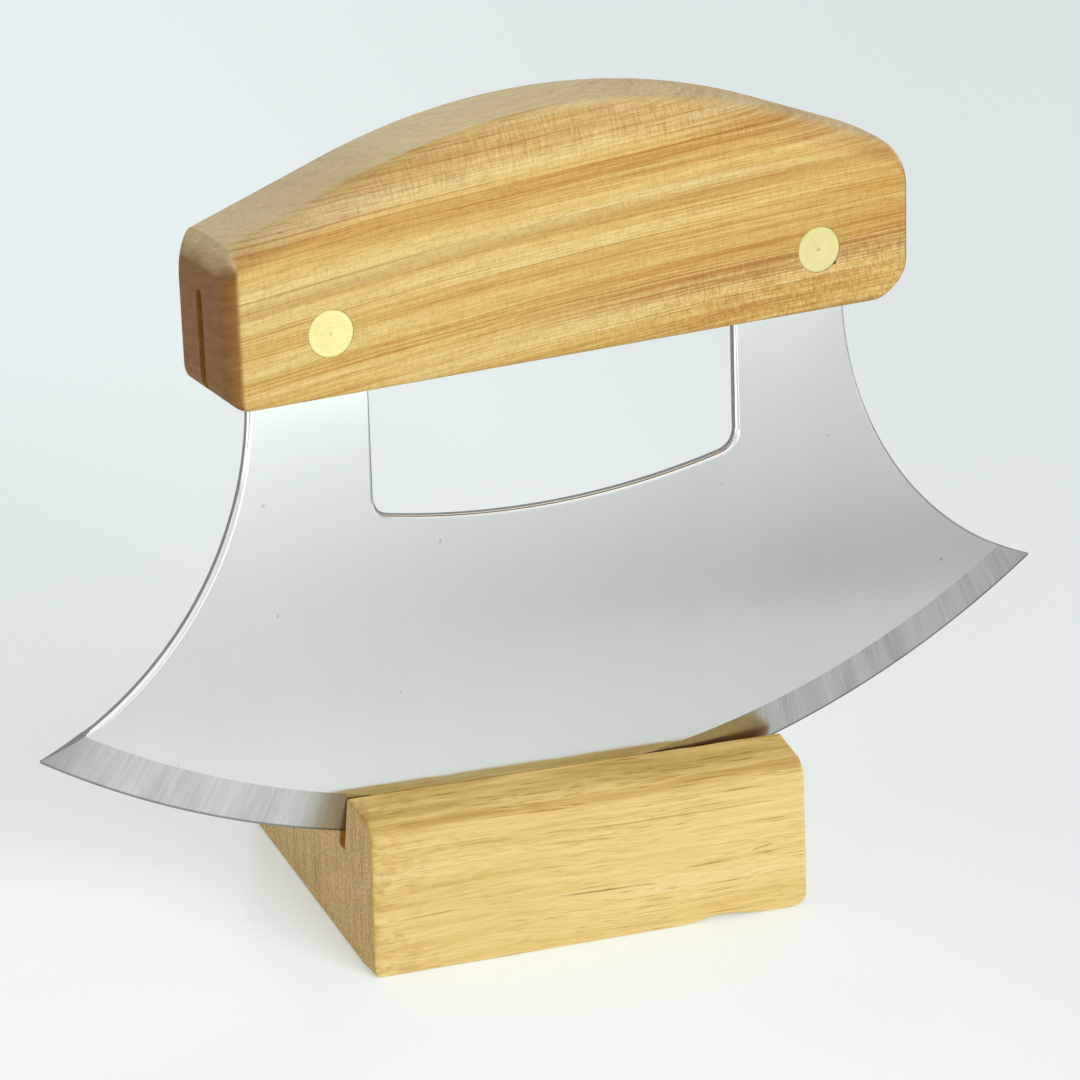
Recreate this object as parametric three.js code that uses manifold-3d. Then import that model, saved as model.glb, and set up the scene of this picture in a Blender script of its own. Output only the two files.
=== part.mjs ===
// Ulu knife leaning back in the slot of its wooden stand, in millimetres, +Z up.
// The origin is the middle of the stand's base, +X runs along the stand and +Y to its back.
import * as THREE from 'three';
import { mergeVertices } from 'three/addons/utils/BufferGeometryUtils.js';
import Module from 'manifold-3d';

const wasm = await Module();
wasm.setup();

// Blade: sheet steel with two tangs, a finger window between them and a curved ground edge.
// Heights on the knife are measured from the line through the blade's two tips.
const BLADE_SPAN = 152.4;
const BLADE_THICKNESS = 1.6;
const EDGE_RADIUS = 136;
const SIDE_RADIUS = 49.2;
const TIP_FLAT = 0.3;
const TANGS_ACROSS = 89.4;
const WINDOW_WIDTH = 55;
const WINDOW_FLOOR_HEIGHT = 22.4;
const WINDOW_FLOOR_RADIUS = 121.6;
const WINDOW_CORNER_RADIUS = 3;
const GRIND_WIDTH = 5.8;
const EDGE_LAND = 0.25;

// Handle: one piece of wood, arched on top, with a saw kerf for the tangs along its underside.
const HANDLE_LENGTH = 100.8;
const HANDLE_THICKNESS = 18.2;
const HANDLE_UNDERSIDE = 45.6;
const HANDLE_HEIGHT = 33.4;
const ARCH_RADIUS = 92;
const ARCH_CENTRE = 1;
const ARCH_LEFT = 31;
const ARCH_RIGHT = 33;
const TOP_STRIP_WIDTH = 11.8;
const TOP_STRIP_CROWN = 0.25;
const CHEEK_DROP_MIDDLE = 10;
const CHEEK_DROP_ENDS = 3.6;
const LOW_EDGE_RADIUS = 1;
const KERF_DEPTH = 14.8;
const KERF_PLAY = 0.2;
const TANG_END_GAP = 0.4;

// The ridge between cheek and top strip is crisp on the left and sanded round towards the right.
const RIDGE_SWEEP_LEFT = THREE.MathUtils.degToRad(62);
const RIDGE_SWEEP_RIGHT = THREE.MathUtils.degToRad(84);
const RIDGE_FADE_FROM = -22;
const RIDGE_FADE_TO = 14;

// The handle's hand-shaped corners, each as its run along the handle, its fall across it
// and its roundness, from 1 for a flat chamfer to 2 for an ellipse.
const LEFT_EDGE = { run: 2.2, fall: 2.7, roundness: 1.4 };
const RIGHT_EDGE = { run: 1.4, fall: 1.2, roundness: 2 };
const LEFT_TOP = { run: 2.4, fall: 3.4, roundness: 1.3 };
const RIGHT_TOP = { run: 4, fall: 2.95, roundness: 2 };
const LEFT_LOW = { run: 3, fall: 3.1, roundness: 2 };
const RIGHT_LOW = { run: 5.2, fall: 5.3, roundness: 1.6 };

// Rivets: two-part cutlery rivets, a post pressed into a barrel, with heads dressed flush.
const RIVET_HEIGHT = 8.8;
const RIVET_HEAD_DIAMETER = 6.4;
const RIVET_HEAD_DEPTH = 3;
const BARREL_DIAMETER = 4.6;
const POST_DIAMETER = 2.6;
const POST_END_GAP = 2;
const RIVET_PLAY = 0.15;

// Stand: a block with a sloped front and a slot sawn aslant along its top, wide enough for the blade to lean.
const STAND_LENGTH = 67.4;
const STAND_DEPTH = 42.4;
const STAND_HEIGHT = 20.3;
const FRONT_SLOPE = THREE.MathUtils.degToRad(17.2);
const FRONT_EDGE_RADIUS = 3.5;
const BACK_EDGE_RADIUS = 1.3;
const EDGE_BREAK = 0.8;
const SLOT_DEPTH = 7.65;
const SLOT_FROM_FRONT = 13.75;
const SLOT_LEAN = THREE.MathUtils.degToRad(5);
const SLOT_PLAY = 0.2;

// How the knife sits: leaning back in the slot, and rocked on its curved edge to the right.
const LEAN = THREE.MathUtils.degToRad(10.2);
const ROCK = THREE.MathUtils.degToRad(3.94);
const SEAT_X = -8.9;

// Facets of the curves.
const ARC_STEPS = 40;
const ROUND_STEPS = 32;
const CORNER_STEPS = 6;
const GRIND_STEPS = 240;
const HANDLE_STEPS = 26;
const CHEEK_STEPS = 8;

// Values that follow from the ones above.
const edgeCentre = Math.sqrt(EDGE_RADIUS ** 2 - (BLADE_SPAN / 2) ** 2) - TIP_FLAT;
const tangTop = HANDLE_UNDERSIDE + KERF_DEPTH - TANG_END_GAP;
const rivetX = (TANGS_ACROSS + WINDOW_WIDTH) / 4;
const rivetZ = HANDLE_UNDERSIDE + RIVET_HEIGHT;
const handleFace = HANDLE_THICKNESS / 2;
const barrelHole = BARREL_DIAMETER / 2 + RIVET_PLAY;
const cutOver = 5;

const steel = new THREE.MeshStandardMaterial({ color: 0xc4c6c7, roughness: 0.32, metalness: 1 });
const handleWood = new THREE.MeshStandardMaterial({ color: 0xd2a663, roughness: 0.55 });
const standWood = new THREE.MeshStandardMaterial({ color: 0xe3bd6f, roughness: 0.6 });
const brass = new THREE.MeshStandardMaterial({ color: 0xdfc568, roughness: 0.35, metalness: 1 });

// A closed geometry as a solid that can be cut.
function toSolid(geometry) {
  const bare = geometry.clone();
  bare.deleteAttribute('normal');
  bare.deleteAttribute('uv');
  const merged = mergeVertices(bare);
  const vertProperties = new Float32Array(merged.attributes.position.array);
  const triVerts = new Uint32Array(merged.index.array);
  return new wasm.Manifold(new wasm.Mesh({ numProp: 3, vertProperties, triVerts }));
}

// A solid back as a geometry with flat normals.
function toGeometry(solid) {
  const { vertProperties, triVerts } = solid.getMesh();
  const geometry = new THREE.BufferGeometry();
  geometry.setAttribute('position', new THREE.BufferAttribute(new Float32Array(vertProperties), 3));
  geometry.setIndex(new THREE.BufferAttribute(new Uint32Array(triVerts), 1));
  geometry.computeVertexNormals();
  return geometry;
}

function named(name, geometry, material) {
  const mesh = new THREE.Mesh(geometry, material);
  mesh.name = name;
  return mesh;
}

// An outline drawn in X and Z, extruded over a thickness that is centred on Y = 0.
function extrudeAcross(shape, thickness) {
  const options = { depth: thickness, bevelEnabled: false, curveSegments: ARC_STEPS };
  const geometry = new THREE.ExtrudeGeometry(shape, options);
  geometry.translate(0, 0, -thickness / 2);
  geometry.rotateX(Math.PI / 2);
  return geometry;
}

// A round bar along Y from one Y to another.
function barAlongY(radius, fromY, toY, x, z) {
  const bar = new THREE.CylinderGeometry(radius, radius, toY - fromY, ROUND_STEPS);
  bar.translate(x, (fromY + toY) / 2, z);
  return bar;
}

// The blade's outline: tang, hollow side, tip, cutting edge, and the same in mirror image.
function bladeOutline() {
  const tangX = TANGS_ACROSS / 2;
  const reach = BLADE_SPAN / 2 - tangX;
  const sideTop = Math.sqrt(2 * SIDE_RADIUS * reach - reach ** 2);
  const sideX = tangX + SIDE_RADIUS;
  const sideTurn = Math.atan2(sideTop, SIDE_RADIUS - reach);
  const edgeTurn = Math.asin(BLADE_SPAN / 2 / EDGE_RADIUS);
  const down = -Math.PI / 2;
  const shape = new THREE.Shape();
  shape.moveTo(-tangX, tangTop);
  shape.absarc(-sideX, sideTop, SIDE_RADIUS, 0, -sideTurn, true);
  shape.absarc(0, edgeCentre, EDGE_RADIUS, down - edgeTurn, down + edgeTurn, false);
  shape.absarc(sideX, sideTop, SIDE_RADIUS, Math.PI + sideTurn, Math.PI, true);
  shape.lineTo(tangX, tangTop);
  return addWindow(shape);
}

// The window's walls close the outline: down the right tang, along the curved floor and up the left.
function addWindow(shape) {
  const wallX = WINDOW_WIDTH / 2;
  const floorCentre = WINDOW_FLOOR_HEIGHT + WINDOW_FLOOR_RADIUS;
  const down = -Math.PI / 2;
  const inner = WINDOW_FLOOR_RADIUS - WINDOW_CORNER_RADIUS;
  const cornerX = wallX - WINDOW_CORNER_RADIUS;
  const cornerZ = floorCentre - Math.sqrt(inner ** 2 - cornerX ** 2);
  const turn = Math.asin(cornerX / inner);
  shape.lineTo(wallX, tangTop);
  shape.absarc(cornerX, cornerZ, WINDOW_CORNER_RADIUS, 0, down + turn, true);
  shape.absarc(0, floorCentre, WINDOW_FLOOR_RADIUS, down + turn, down - turn, true);
  shape.absarc(-cornerX, cornerZ, WINDOW_CORNER_RADIUS, down - turn, -Math.PI, true);
  shape.lineTo(-wallX, tangTop);
  shape.closePath();
  return shape;
}

// The ring that grinds the front of the edge, a cone about the centre of the cutting edge.
function grindRing() {
  const front = -BLADE_THICKNESS / 2;
  const edge = -front - EDGE_LAND;
  const rise = (edge - front) / GRIND_WIDTH;
  const start = EDGE_RADIUS - GRIND_WIDTH;
  const profile = [
    new THREE.Vector2(start - cutOver, front - rise * cutOver),
    new THREE.Vector2(EDGE_RADIUS + cutOver, front - rise * cutOver),
    new THREE.Vector2(EDGE_RADIUS + cutOver, edge + rise * cutOver),
    new THREE.Vector2(start - cutOver, front - rise * cutOver),
  ];
  const ring = new THREE.LatheGeometry(profile, GRIND_STEPS);
  ring.translate(0, 0, edgeCentre);
  return ring;
}

function makeBlade() {
  let solid = toSolid(extrudeAcross(bladeOutline(), BLADE_THICKNESS));
  solid = solid.subtract(toSolid(grindRing()));
  for (const side of [-1, 1]) {
    const hole = barAlongY(barrelHole, -cutOver, cutOver, side * rivetX, rivetZ);
    solid = solid.subtract(toSolid(hole));
  }
  return toGeometry(solid);
}

// How far a corner has fallen at a distance in from the handle's end.
function cornerFall({ run, fall, roundness }, inward) {
  const share = Math.max(run - inward, 0) / run;
  return fall * (1 - (1 - share ** roundness) ** (1 / roundness));
}

// Height of the handle's top: an arc about its crown, running out straight to both ends.
function archHeight(x) {
  const crown = HANDLE_UNDERSIDE + HANDLE_HEIGHT;
  const away = Math.abs(x - ARCH_CENTRE);
  const bend = Math.min(away, x < ARCH_CENTRE ? ARCH_LEFT : ARCH_RIGHT);
  const below = Math.sqrt(ARCH_RADIUS ** 2 - bend ** 2);
  const slope = bend / below;
  return crown - (ARCH_RADIUS - below) - slope * (away - bend);
}

// How far the cheek at x has turned towards the top where it meets the top strip.
function ridgeSweep(x) {
  const share = THREE.MathUtils.smoothstep(x, RIDGE_FADE_FROM, RIDGE_FADE_TO);
  return RIDGE_SWEEP_LEFT + (RIDGE_SWEEP_RIGHT - RIDGE_SWEEP_LEFT) * share;
}

// One section across the handle at x, as points in Y and Z, counter-clockwise seen from +X.
function handleSection(x) {
  const inward = HANDLE_LENGTH / 2 - Math.abs(x);
  const face = handleFace - cornerFall(x < 0 ? LEFT_EDGE : RIGHT_EDGE, inward);
  const top = archHeight(x) - cornerFall(x < 0 ? LEFT_TOP : RIGHT_TOP, inward);
  const low = HANDLE_UNDERSIDE + cornerFall(x < 0 ? LEFT_LOW : RIGHT_LOW, inward);
  const strip = Math.min(TOP_STRIP_WIDTH / 2, face - LOW_EDGE_RADIUS);
  const middle = Math.cos(Math.PI * x / HANDLE_LENGTH) ** 2;
  const drop = CHEEK_DROP_ENDS + (CHEEK_DROP_MIDDLE - CHEEK_DROP_ENDS) * middle;
  const sweep = ridgeSweep(x);
  const half = [];
  for (let i = 0; i <= CORNER_STEPS; i++) {
    const turn = Math.PI / 2 * i / CORNER_STEPS;
    const y = face - LOW_EDGE_RADIUS * (1 - Math.sin(turn));
    half.push([y, low + LOW_EDGE_RADIUS * (1 - Math.cos(turn))]);
  }
  for (let i = 0; i <= CHEEK_STEPS; i++) {
    const turn = sweep * i / CHEEK_STEPS;
    const inset = (1 - Math.cos(turn)) / (1 - Math.cos(sweep));
    half.push([face - (face - strip) * inset, top - drop * (1 - Math.sin(turn) / Math.sin(sweep))]);
  }
  const mirrored = half.map(([y, z]) => [-y, z]).reverse();
  return [...half, [0, top + TOP_STRIP_CROWN], ...mirrored];
}

// Stations along the handle, closer together where its ends are rounded.
function handleStations() {
  const half = HANDLE_LENGTH / 2;
  const corners = [LEFT_EDGE, RIGHT_EDGE, LEFT_TOP, RIGHT_TOP, LEFT_LOW, RIGHT_LOW];
  const zone = Math.max(...corners.map(({ run }) => run));
  const end = [];
  for (let i = 0; i < CORNER_STEPS + 2; i++) {
    end.push(half - zone * (1 - Math.cos(Math.PI / 2 * i / (CORNER_STEPS + 2))));
  }
  const middle = [];
  for (let i = 0; i <= HANDLE_STEPS; i++) {
    middle.push((half - zone) * (2 * i / HANDLE_STEPS - 1));
  }
  return [...end.map((x) => -x), ...middle, ...end.reverse()];
}

// A closed skin over sections that all have the same number of points.
function loft(stations, section) {
  const positions = [];
  const index = [];
  const count = section(0).length;
  for (const x of stations) {
    for (const [y, z] of section(x)) {
      positions.push(x, y, z);
    }
  }
  for (let s = 0; s + 1 < stations.length; s++) {
    for (let i = 0; i < count; i++) {
      const a = s * count + i;
      const b = s * count + (i + 1) % count;
      index.push(a, b, a + count, b, b + count, a + count);
    }
  }
  const last = (stations.length - 1) * count;
  for (let i = 1; i + 1 < count; i++) {
    index.push(0, i + 1, i, last, last + i, last + i + 1);
  }
  const geometry = new THREE.BufferGeometry();
  geometry.setAttribute('position', new THREE.Float32BufferAttribute(positions, 3));
  geometry.setIndex(index);
  return geometry;
}

function makeHandle() {
  const kerfWidth = BLADE_THICKNESS + 2 * KERF_PLAY;
  const kerf = new THREE.BoxGeometry(HANDLE_LENGTH + 2 * cutOver, kerfWidth, KERF_DEPTH + cutOver);
  kerf.translate(0, 0, HANDLE_UNDERSIDE + (KERF_DEPTH - cutOver) / 2);
  const headHole = RIVET_HEAD_DIAMETER / 2 + RIVET_PLAY;
  const headSeat = handleFace - RIVET_HEAD_DEPTH - RIVET_PLAY;
  const past = handleFace + cutOver;
  let solid = toSolid(loft(handleStations(), handleSection)).subtract(toSolid(kerf));
  for (const side of [-1, 1]) {
    const x = side * rivetX;
    solid = solid.subtract(toSolid(barAlongY(barrelHole, -past, past, x, rivetZ)));
    solid = solid.subtract(toSolid(barAlongY(headHole, -past, -headSeat, x, rivetZ)));
    solid = solid.subtract(toSolid(barAlongY(headHole, headSeat, past, x, rivetZ)));
  }
  return toGeometry(solid);
}

// A turned rivet half about Z from [radius, height] pairs, laid along Y at its place in the handle.
function rivetHalf(profile, towardsBack, x) {
  const points = profile.map(([radius, height]) => new THREE.Vector2(radius, height));
  const geometry = new THREE.LatheGeometry(points, ROUND_STEPS);
  if (towardsBack) {
    geometry.rotateX(Math.PI);
  }
  geometry.translate(x, 0, rivetZ);
  return geometry;
}

// The post half: head on the front face, solid post reaching back into the barrel.
function makePost(x) {
  const head = RIVET_HEAD_DIAMETER / 2;
  const seat = -handleFace + RIVET_HEAD_DEPTH;
  const end = handleFace - RIVET_HEAD_DEPTH - POST_END_GAP;
  const profile = [[0, -handleFace], [head, -handleFace], [head, seat], [POST_DIAMETER / 2, seat],
    [POST_DIAMETER / 2, end], [0, end]];
  return rivetHalf(profile, false, x);
}

// The barrel half: head on the back face, with a blind bore that takes the post.
function makeBarrel(x) {
  const head = RIVET_HEAD_DIAMETER / 2;
  const bore = POST_DIAMETER / 2 + RIVET_PLAY;
  const seat = -handleFace + RIVET_HEAD_DEPTH;
  const mouth = handleFace - RIVET_HEAD_DEPTH - RIVET_PLAY;
  const profile = [[0, -handleFace], [head, -handleFace], [head, seat], [BARREL_DIAMETER / 2, seat],
    [BARREL_DIAMETER / 2, mouth], [bore, mouth], [bore, seat + RIVET_PLAY], [0, seat + RIVET_PLAY]];
  return rivetHalf(profile, true, x);
}

// The slot's walls at its mouth, and how far forward they run down to its floor.
// They stand clear of the leaning blade: in front where its grind starts, and behind at the mouth.
function slotWalls() {
  const half = BLADE_THICKNESS / 2 / Math.cos(LEAN);
  const sunk = SLOT_DEPTH - SLOT_PLAY;
  const front = -STAND_DEPTH / 2 + SLOT_FROM_FRONT;
  const atGrind = front - (sunk - GRIND_WIDTH * Math.cos(LEAN)) * Math.tan(SLOT_LEAN);
  const seatY = atGrind + SLOT_PLAY + half - GRIND_WIDTH * Math.sin(LEAN);
  const back = seatY + sunk * Math.tan(LEAN) + half + SLOT_PLAY;
  return { front, back, forward: SLOT_DEPTH * Math.tan(SLOT_LEAN), seatY };
}

// The stand's end view in Y and Z, with its slot, extruded along X with broken edges at both ends.
function makeStand() {
  const { front, back, forward } = slotWalls();
  const foot = STAND_DEPTH / 2;
  const slotFloor = STAND_HEIGHT - SLOT_DEPTH;
  const corner = FRONT_EDGE_RADIUS * Math.tan((Math.PI / 2 - FRONT_SLOPE) / 2);
  const arcY = -foot + STAND_HEIGHT * Math.tan(FRONT_SLOPE) + corner;
  const arcZ = STAND_HEIGHT - FRONT_EDGE_RADIUS;
  const backZ = STAND_HEIGHT - BACK_EDGE_RADIUS;
  const shape = new THREE.Shape();
  shape.moveTo(-foot, 0);
  shape.lineTo(foot, 0);
  shape.lineTo(foot, backZ);
  shape.absarc(foot - BACK_EDGE_RADIUS, backZ, BACK_EDGE_RADIUS, 0, Math.PI / 2, false);
  shape.lineTo(back, STAND_HEIGHT);
  shape.lineTo(back - forward, slotFloor);
  shape.lineTo(front - forward, slotFloor);
  shape.lineTo(front, STAND_HEIGHT);
  shape.absarc(arcY, arcZ, FRONT_EDGE_RADIUS, Math.PI / 2, Math.PI - FRONT_SLOPE, false);
  shape.closePath();
  const geometry = new THREE.ExtrudeGeometry(shape, {
    depth: STAND_LENGTH - 2 * EDGE_BREAK,
    curveSegments: CORNER_STEPS,
    bevelThickness: EDGE_BREAK,
    bevelSize: EDGE_BREAK,
    bevelOffset: -EDGE_BREAK,
    bevelSegments: 2,
  });
  geometry.translate(0, 0, EDGE_BREAK - STAND_LENGTH / 2);
  geometry.rotateY(Math.PI / 2);
  geometry.rotateX(Math.PI / 2);
  return geometry;
}

// The knife in its own frame, between the blade's tips.
function makeKnife() {
  const knife = new THREE.Group();
  knife.add(named('blade', makeBlade(), steel));
  knife.add(named('handle', makeHandle(), handleWood));
  for (const [side, x] of [['left', -rivetX], ['right', rivetX]]) {
    knife.add(named(`rivet_${side}_post`, makePost(x), brass));
    knife.add(named(`rivet_${side}_barrel`, makeBarrel(x), brass));
  }
  return knife;
}

// The knife rolls on its edge about the edge's centre, and leans about its foot in the slot.
function seatKnife(knife) {
  knife.position.z = -edgeCentre;
  const rocked = new THREE.Group();
  rocked.position.z = EDGE_RADIUS;
  rocked.rotation.y = -ROCK;
  rocked.add(knife);
  const leaning = new THREE.Group();
  leaning.position.set(SEAT_X, slotWalls().seatY, STAND_HEIGHT - SLOT_DEPTH + SLOT_PLAY);
  leaning.rotation.x = -LEAN;
  leaning.add(rocked);
  return leaning;
}

const group = new THREE.Group();
group.add(named('stand_block', makeStand(), standWood));
group.add(seatKnife(makeKnife()));

export default group;
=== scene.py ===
from math import asin, atan2, cos, exp, pi, radians, sin, sqrt, tan

import bmesh
import bpy
from mathutils import Matrix, Vector


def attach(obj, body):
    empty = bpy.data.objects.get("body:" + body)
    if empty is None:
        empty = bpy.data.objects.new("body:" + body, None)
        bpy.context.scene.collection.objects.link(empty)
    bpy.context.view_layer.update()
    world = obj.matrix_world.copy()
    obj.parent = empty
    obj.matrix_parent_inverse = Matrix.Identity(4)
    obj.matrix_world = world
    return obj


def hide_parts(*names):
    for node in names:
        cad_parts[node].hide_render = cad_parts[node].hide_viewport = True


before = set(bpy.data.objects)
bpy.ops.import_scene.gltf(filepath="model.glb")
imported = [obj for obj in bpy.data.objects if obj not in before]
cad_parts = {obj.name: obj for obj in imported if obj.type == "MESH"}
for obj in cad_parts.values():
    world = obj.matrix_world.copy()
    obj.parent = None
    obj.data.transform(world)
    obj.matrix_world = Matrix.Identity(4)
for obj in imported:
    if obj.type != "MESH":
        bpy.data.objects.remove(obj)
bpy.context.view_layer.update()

# Sizes in millimetres, most of them those of the solids that these pieces replace.
MM = 0.001
HAIR = 0.01
BLADE_SPAN = 152.4
BLADE_THICKNESS = 1.6
EDGE_RADIUS = 136
SIDE_RADIUS = 49.2
TIP_FLAT = 0.3
TANGS_ACROSS = 89.4
WINDOW_WIDTH = 55
WINDOW_FLOOR_HEIGHT = 22.4
WINDOW_FLOOR_RADIUS = 121.6
WINDOW_CORNER_RADIUS = 3
GRIND_WIDTH = 5.8
EDGE_LAND = 0.25

# The blade's rounded edges, which end above the grind and inside the handle, and are smaller on the right.
FRONT_ROUNDING = 0.6
BACK_ROUNDING = 0.3
RIGHT_ROUNDING_SHARE = 0.75
ROUNDING_FADE = 2
ROUNDED_INTO_HANDLE = 3

HANDLE_LENGTH = 100.8
HANDLE_THICKNESS = 18.2
HANDLE_UNDERSIDE = 45.6
HANDLE_HEIGHT = 33.4
ARCH_RADIUS = 92
ARCH_CENTRE = 1
ARCH_LEFT = 31
ARCH_RIGHT = 33
TOP_STRIP_WIDTH = 11.8
TOP_STRIP_CROWN = 0.25
CHEEK_DROP_MIDDLE = 10
CHEEK_DROP_ENDS = 3.6
LOW_EDGE_RADIUS = 1
KERF_DEPTH = 14.8
KERF_PLAY = 0.1
TANG_END_GAP = 0.4

# The ridge between cheek and top strip is crisp on the left and sanded round towards the right.
RIDGE_SWEEP_LEFT = radians(62)
RIDGE_SWEEP_RIGHT = radians(84)
RIDGE_FADE_FROM = -22
RIDGE_FADE_TO = 14

# The handle's corners: run along the handle, fall across it, and roundness from 1, flat, to 2, an ellipse.
LEFT_EDGE = (2.3, 2.75, 1.65)
RIGHT_EDGE = (1.4, 1.2, 2)
LEFT_TOP = (1.75, 3.4, 1.25)
RIGHT_TOP = (4, 2.95, 2)
LEFT_LOW = (3, 3.1, 2)
RIGHT_LOW = (5.2, 5.3, 1.6)

# How finely the handle's curves are divided, across it and along it.
EDGE_STEPS = 8
CHEEK_STEPS = 20
CROWN_STEPS = 4
END_STEPS = 24
MIDDLE_STEPS = 90

RIVET_HEIGHT = 8.8
RIVET_HEAD_DIAMETER = 6.4
RIVET_HEAD_DEPTH = 3
RIVET_HEAD_FIT = 0.015
RIVET_SUNK = 0.02
RIVET_EDGE_BREAK = 0.05
RIVET_STEPS = 72
BARREL_DIAMETER = 4.6
RIVET_PLAY = 0.15
HALVES_GAP = 0.2
MARK_RADIUS = 0.5
MARK_DEPTH = 0.02

# A nick in the wood beside the right rivet, low on the rivet's right.
NICK_RADIUS = 0.3
NICK_DEPTH = 0.7
NICK_TURN = 0.75

STAND_LENGTH = 67.4
STAND_DEPTH = 42.4
STAND_HEIGHT = 20.3
FRONT_SLOPE = radians(17.2)
FRONT_EDGE_RADIUS = 3.5
BACK_EDGE_RADIUS = 1.3
EDGE_BREAK = 0.8
BASE_BREAK = 0.25
SLOT_DEPTH = 7.65
SLOT_FROM_FRONT = 13.75
SLOT_LEAN = radians(5)
SLOT_PLAY = 0.2
SLOT_SNUG = 0.15
SLOT_CORNER = 0.3

# Wear on the stand: rounded corners and a dent low in front, and a top edge that wavers.
WEAR_REACH = 4
LEFT_TOE = 1.2
RIGHT_TOE = 2.2
DENT_X = 19.5
DENT_DEPTH = 0.75
DENT_LEFT = 3
DENT_RIGHT = 5
TOP_WAVER = 0.05

# The longest pores in the stand's front: where each starts and ends in X and Z, and how dark it is.
LONG_PORES = (
    (-8, 15.5, 32, 15.5, 0.45),
    (-9.2, 14.5, 4.8, 13.8, 0.4),
    (-7, 7.1, 7, 6.7, 0.75),
    (13.2, 8.1, 22.5, 8.2, 0.65),
    (24.5, 9, 28.8, 9.6, 0.5),
    (7.2, 4.4, 13, 4.3, 0.4),
)

# How the knife stands in the slot: leaning back, rocked to the right, and where its edge touches.
LEAN = radians(10.2)
ROCK = radians(3.94)
SEAT_X = -8.9

# The photograph's camera: its place, where it looks and its focal length on its frame.
CAMERA_PLACE = Vector((-256.95, -452.07, 317.99)) * MM
CAMERA_AZIMUTH = radians(-29.135)
CAMERA_ELEVATION = radians(27.133)
CAMERA_ROLL = radians(7.077)
CAMERA_LENS = 142.07
CAMERA_FRAME = 36

LAMP_PLACE = Vector((490, -1060, 580)) * MM
LAMP_AIM = Vector((0, 0, 60)) * MM
LAMP_WIDTH = 1100
LAMP_HEIGHT = 900
LAMP_WATTS = 10.6
LAMP_COLOUR = (1, 0.99, 0.97)
ROOM_STRENGTH = 0.5
FLOOR_RADIUS = 12000

edge_centre = sqrt(EDGE_RADIUS ** 2 - (BLADE_SPAN / 2) ** 2) - TIP_FLAT
tang_top = HANDLE_UNDERSIDE + KERF_DEPTH - TANG_END_GAP
rivet_x = (TANGS_ACROSS + WINDOW_WIDTH) / 4
rivet_z = HANDLE_UNDERSIDE + RIVET_HEIGHT
rivet_hole = BARREL_DIAMETER / 2 + RIVET_PLAY
handle_face = HANDLE_THICKNESS / 2

# The slot's walls at its mouth, how far forward they run down to its floor, and the blade's foot in it.
half_blade = BLADE_THICKNESS / 2 / cos(LEAN)
foot_depth = SLOT_DEPTH - SLOT_PLAY
slot_floor = STAND_HEIGHT - SLOT_DEPTH
slot_forward = SLOT_DEPTH * tan(SLOT_LEAN)
slot_front = -STAND_DEPTH / 2 + SLOT_FROM_FRONT
wall_at_grind = slot_front - (foot_depth - GRIND_WIDTH * cos(LEAN)) * tan(SLOT_LEAN)
foot_y = wall_at_grind + SLOT_PLAY + half_blade - GRIND_WIDTH * sin(LEAN)
slot_back = foot_y + foot_depth * tan(LEAN) + half_blade + SLOT_PLAY


# Camera, floor and lights

def make_camera():
    flat = cos(CAMERA_ELEVATION)
    back = Vector((sin(CAMERA_AZIMUTH) * flat, -cos(CAMERA_AZIMUTH) * flat, sin(CAMERA_ELEVATION)))
    level = Vector((0, 0, 1)).cross(back).normalized()
    upright = back.cross(level)
    right = cos(CAMERA_ROLL) * level + sin(CAMERA_ROLL) * upright
    up = back.cross(right)
    data = bpy.data.cameras.new("camera")
    data.sensor_width = CAMERA_FRAME
    data.lens = CAMERA_LENS
    data.clip_end = 50
    camera = bpy.data.objects.new("camera", data)
    turn = Matrix((right, up, back)).transposed().to_4x4()
    camera.matrix_world = Matrix.Translation(CAMERA_PLACE) @ turn
    bpy.context.scene.collection.objects.link(camera)
    bpy.context.scene.camera = camera


def make_lamp():
    """One large soft lamp to the right in front, which metal doesn't mirror."""
    data = bpy.data.lights.new("key", "AREA")
    data.shape = "RECTANGLE"
    data.size = LAMP_WIDTH * MM
    data.size_y = LAMP_HEIGHT * MM
    data.energy = LAMP_WATTS
    data.color = LAMP_COLOUR
    lamp = bpy.data.objects.new("key", data)
    lamp.visible_glossy = False
    turn = (LAMP_AIM - LAMP_PLACE).to_track_quat("-Z", "Y").to_matrix().to_4x4()
    lamp.matrix_world = Matrix.Translation(LAMP_PLACE) @ turn
    bpy.context.scene.collection.objects.link(lamp)


def ramp_between(tree, value, low, high, to_low, to_high):
    """A straight ramp from one value to another as a value goes from low to high."""
    made = tree.nodes.new("ShaderNodeMapRange")
    for socket, number in zip(made.inputs[1:5], (low, high, to_low, to_high)):
        socket.default_value = number
    tree.links.new(value, made.inputs[0])
    return made.outputs[0]


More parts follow.
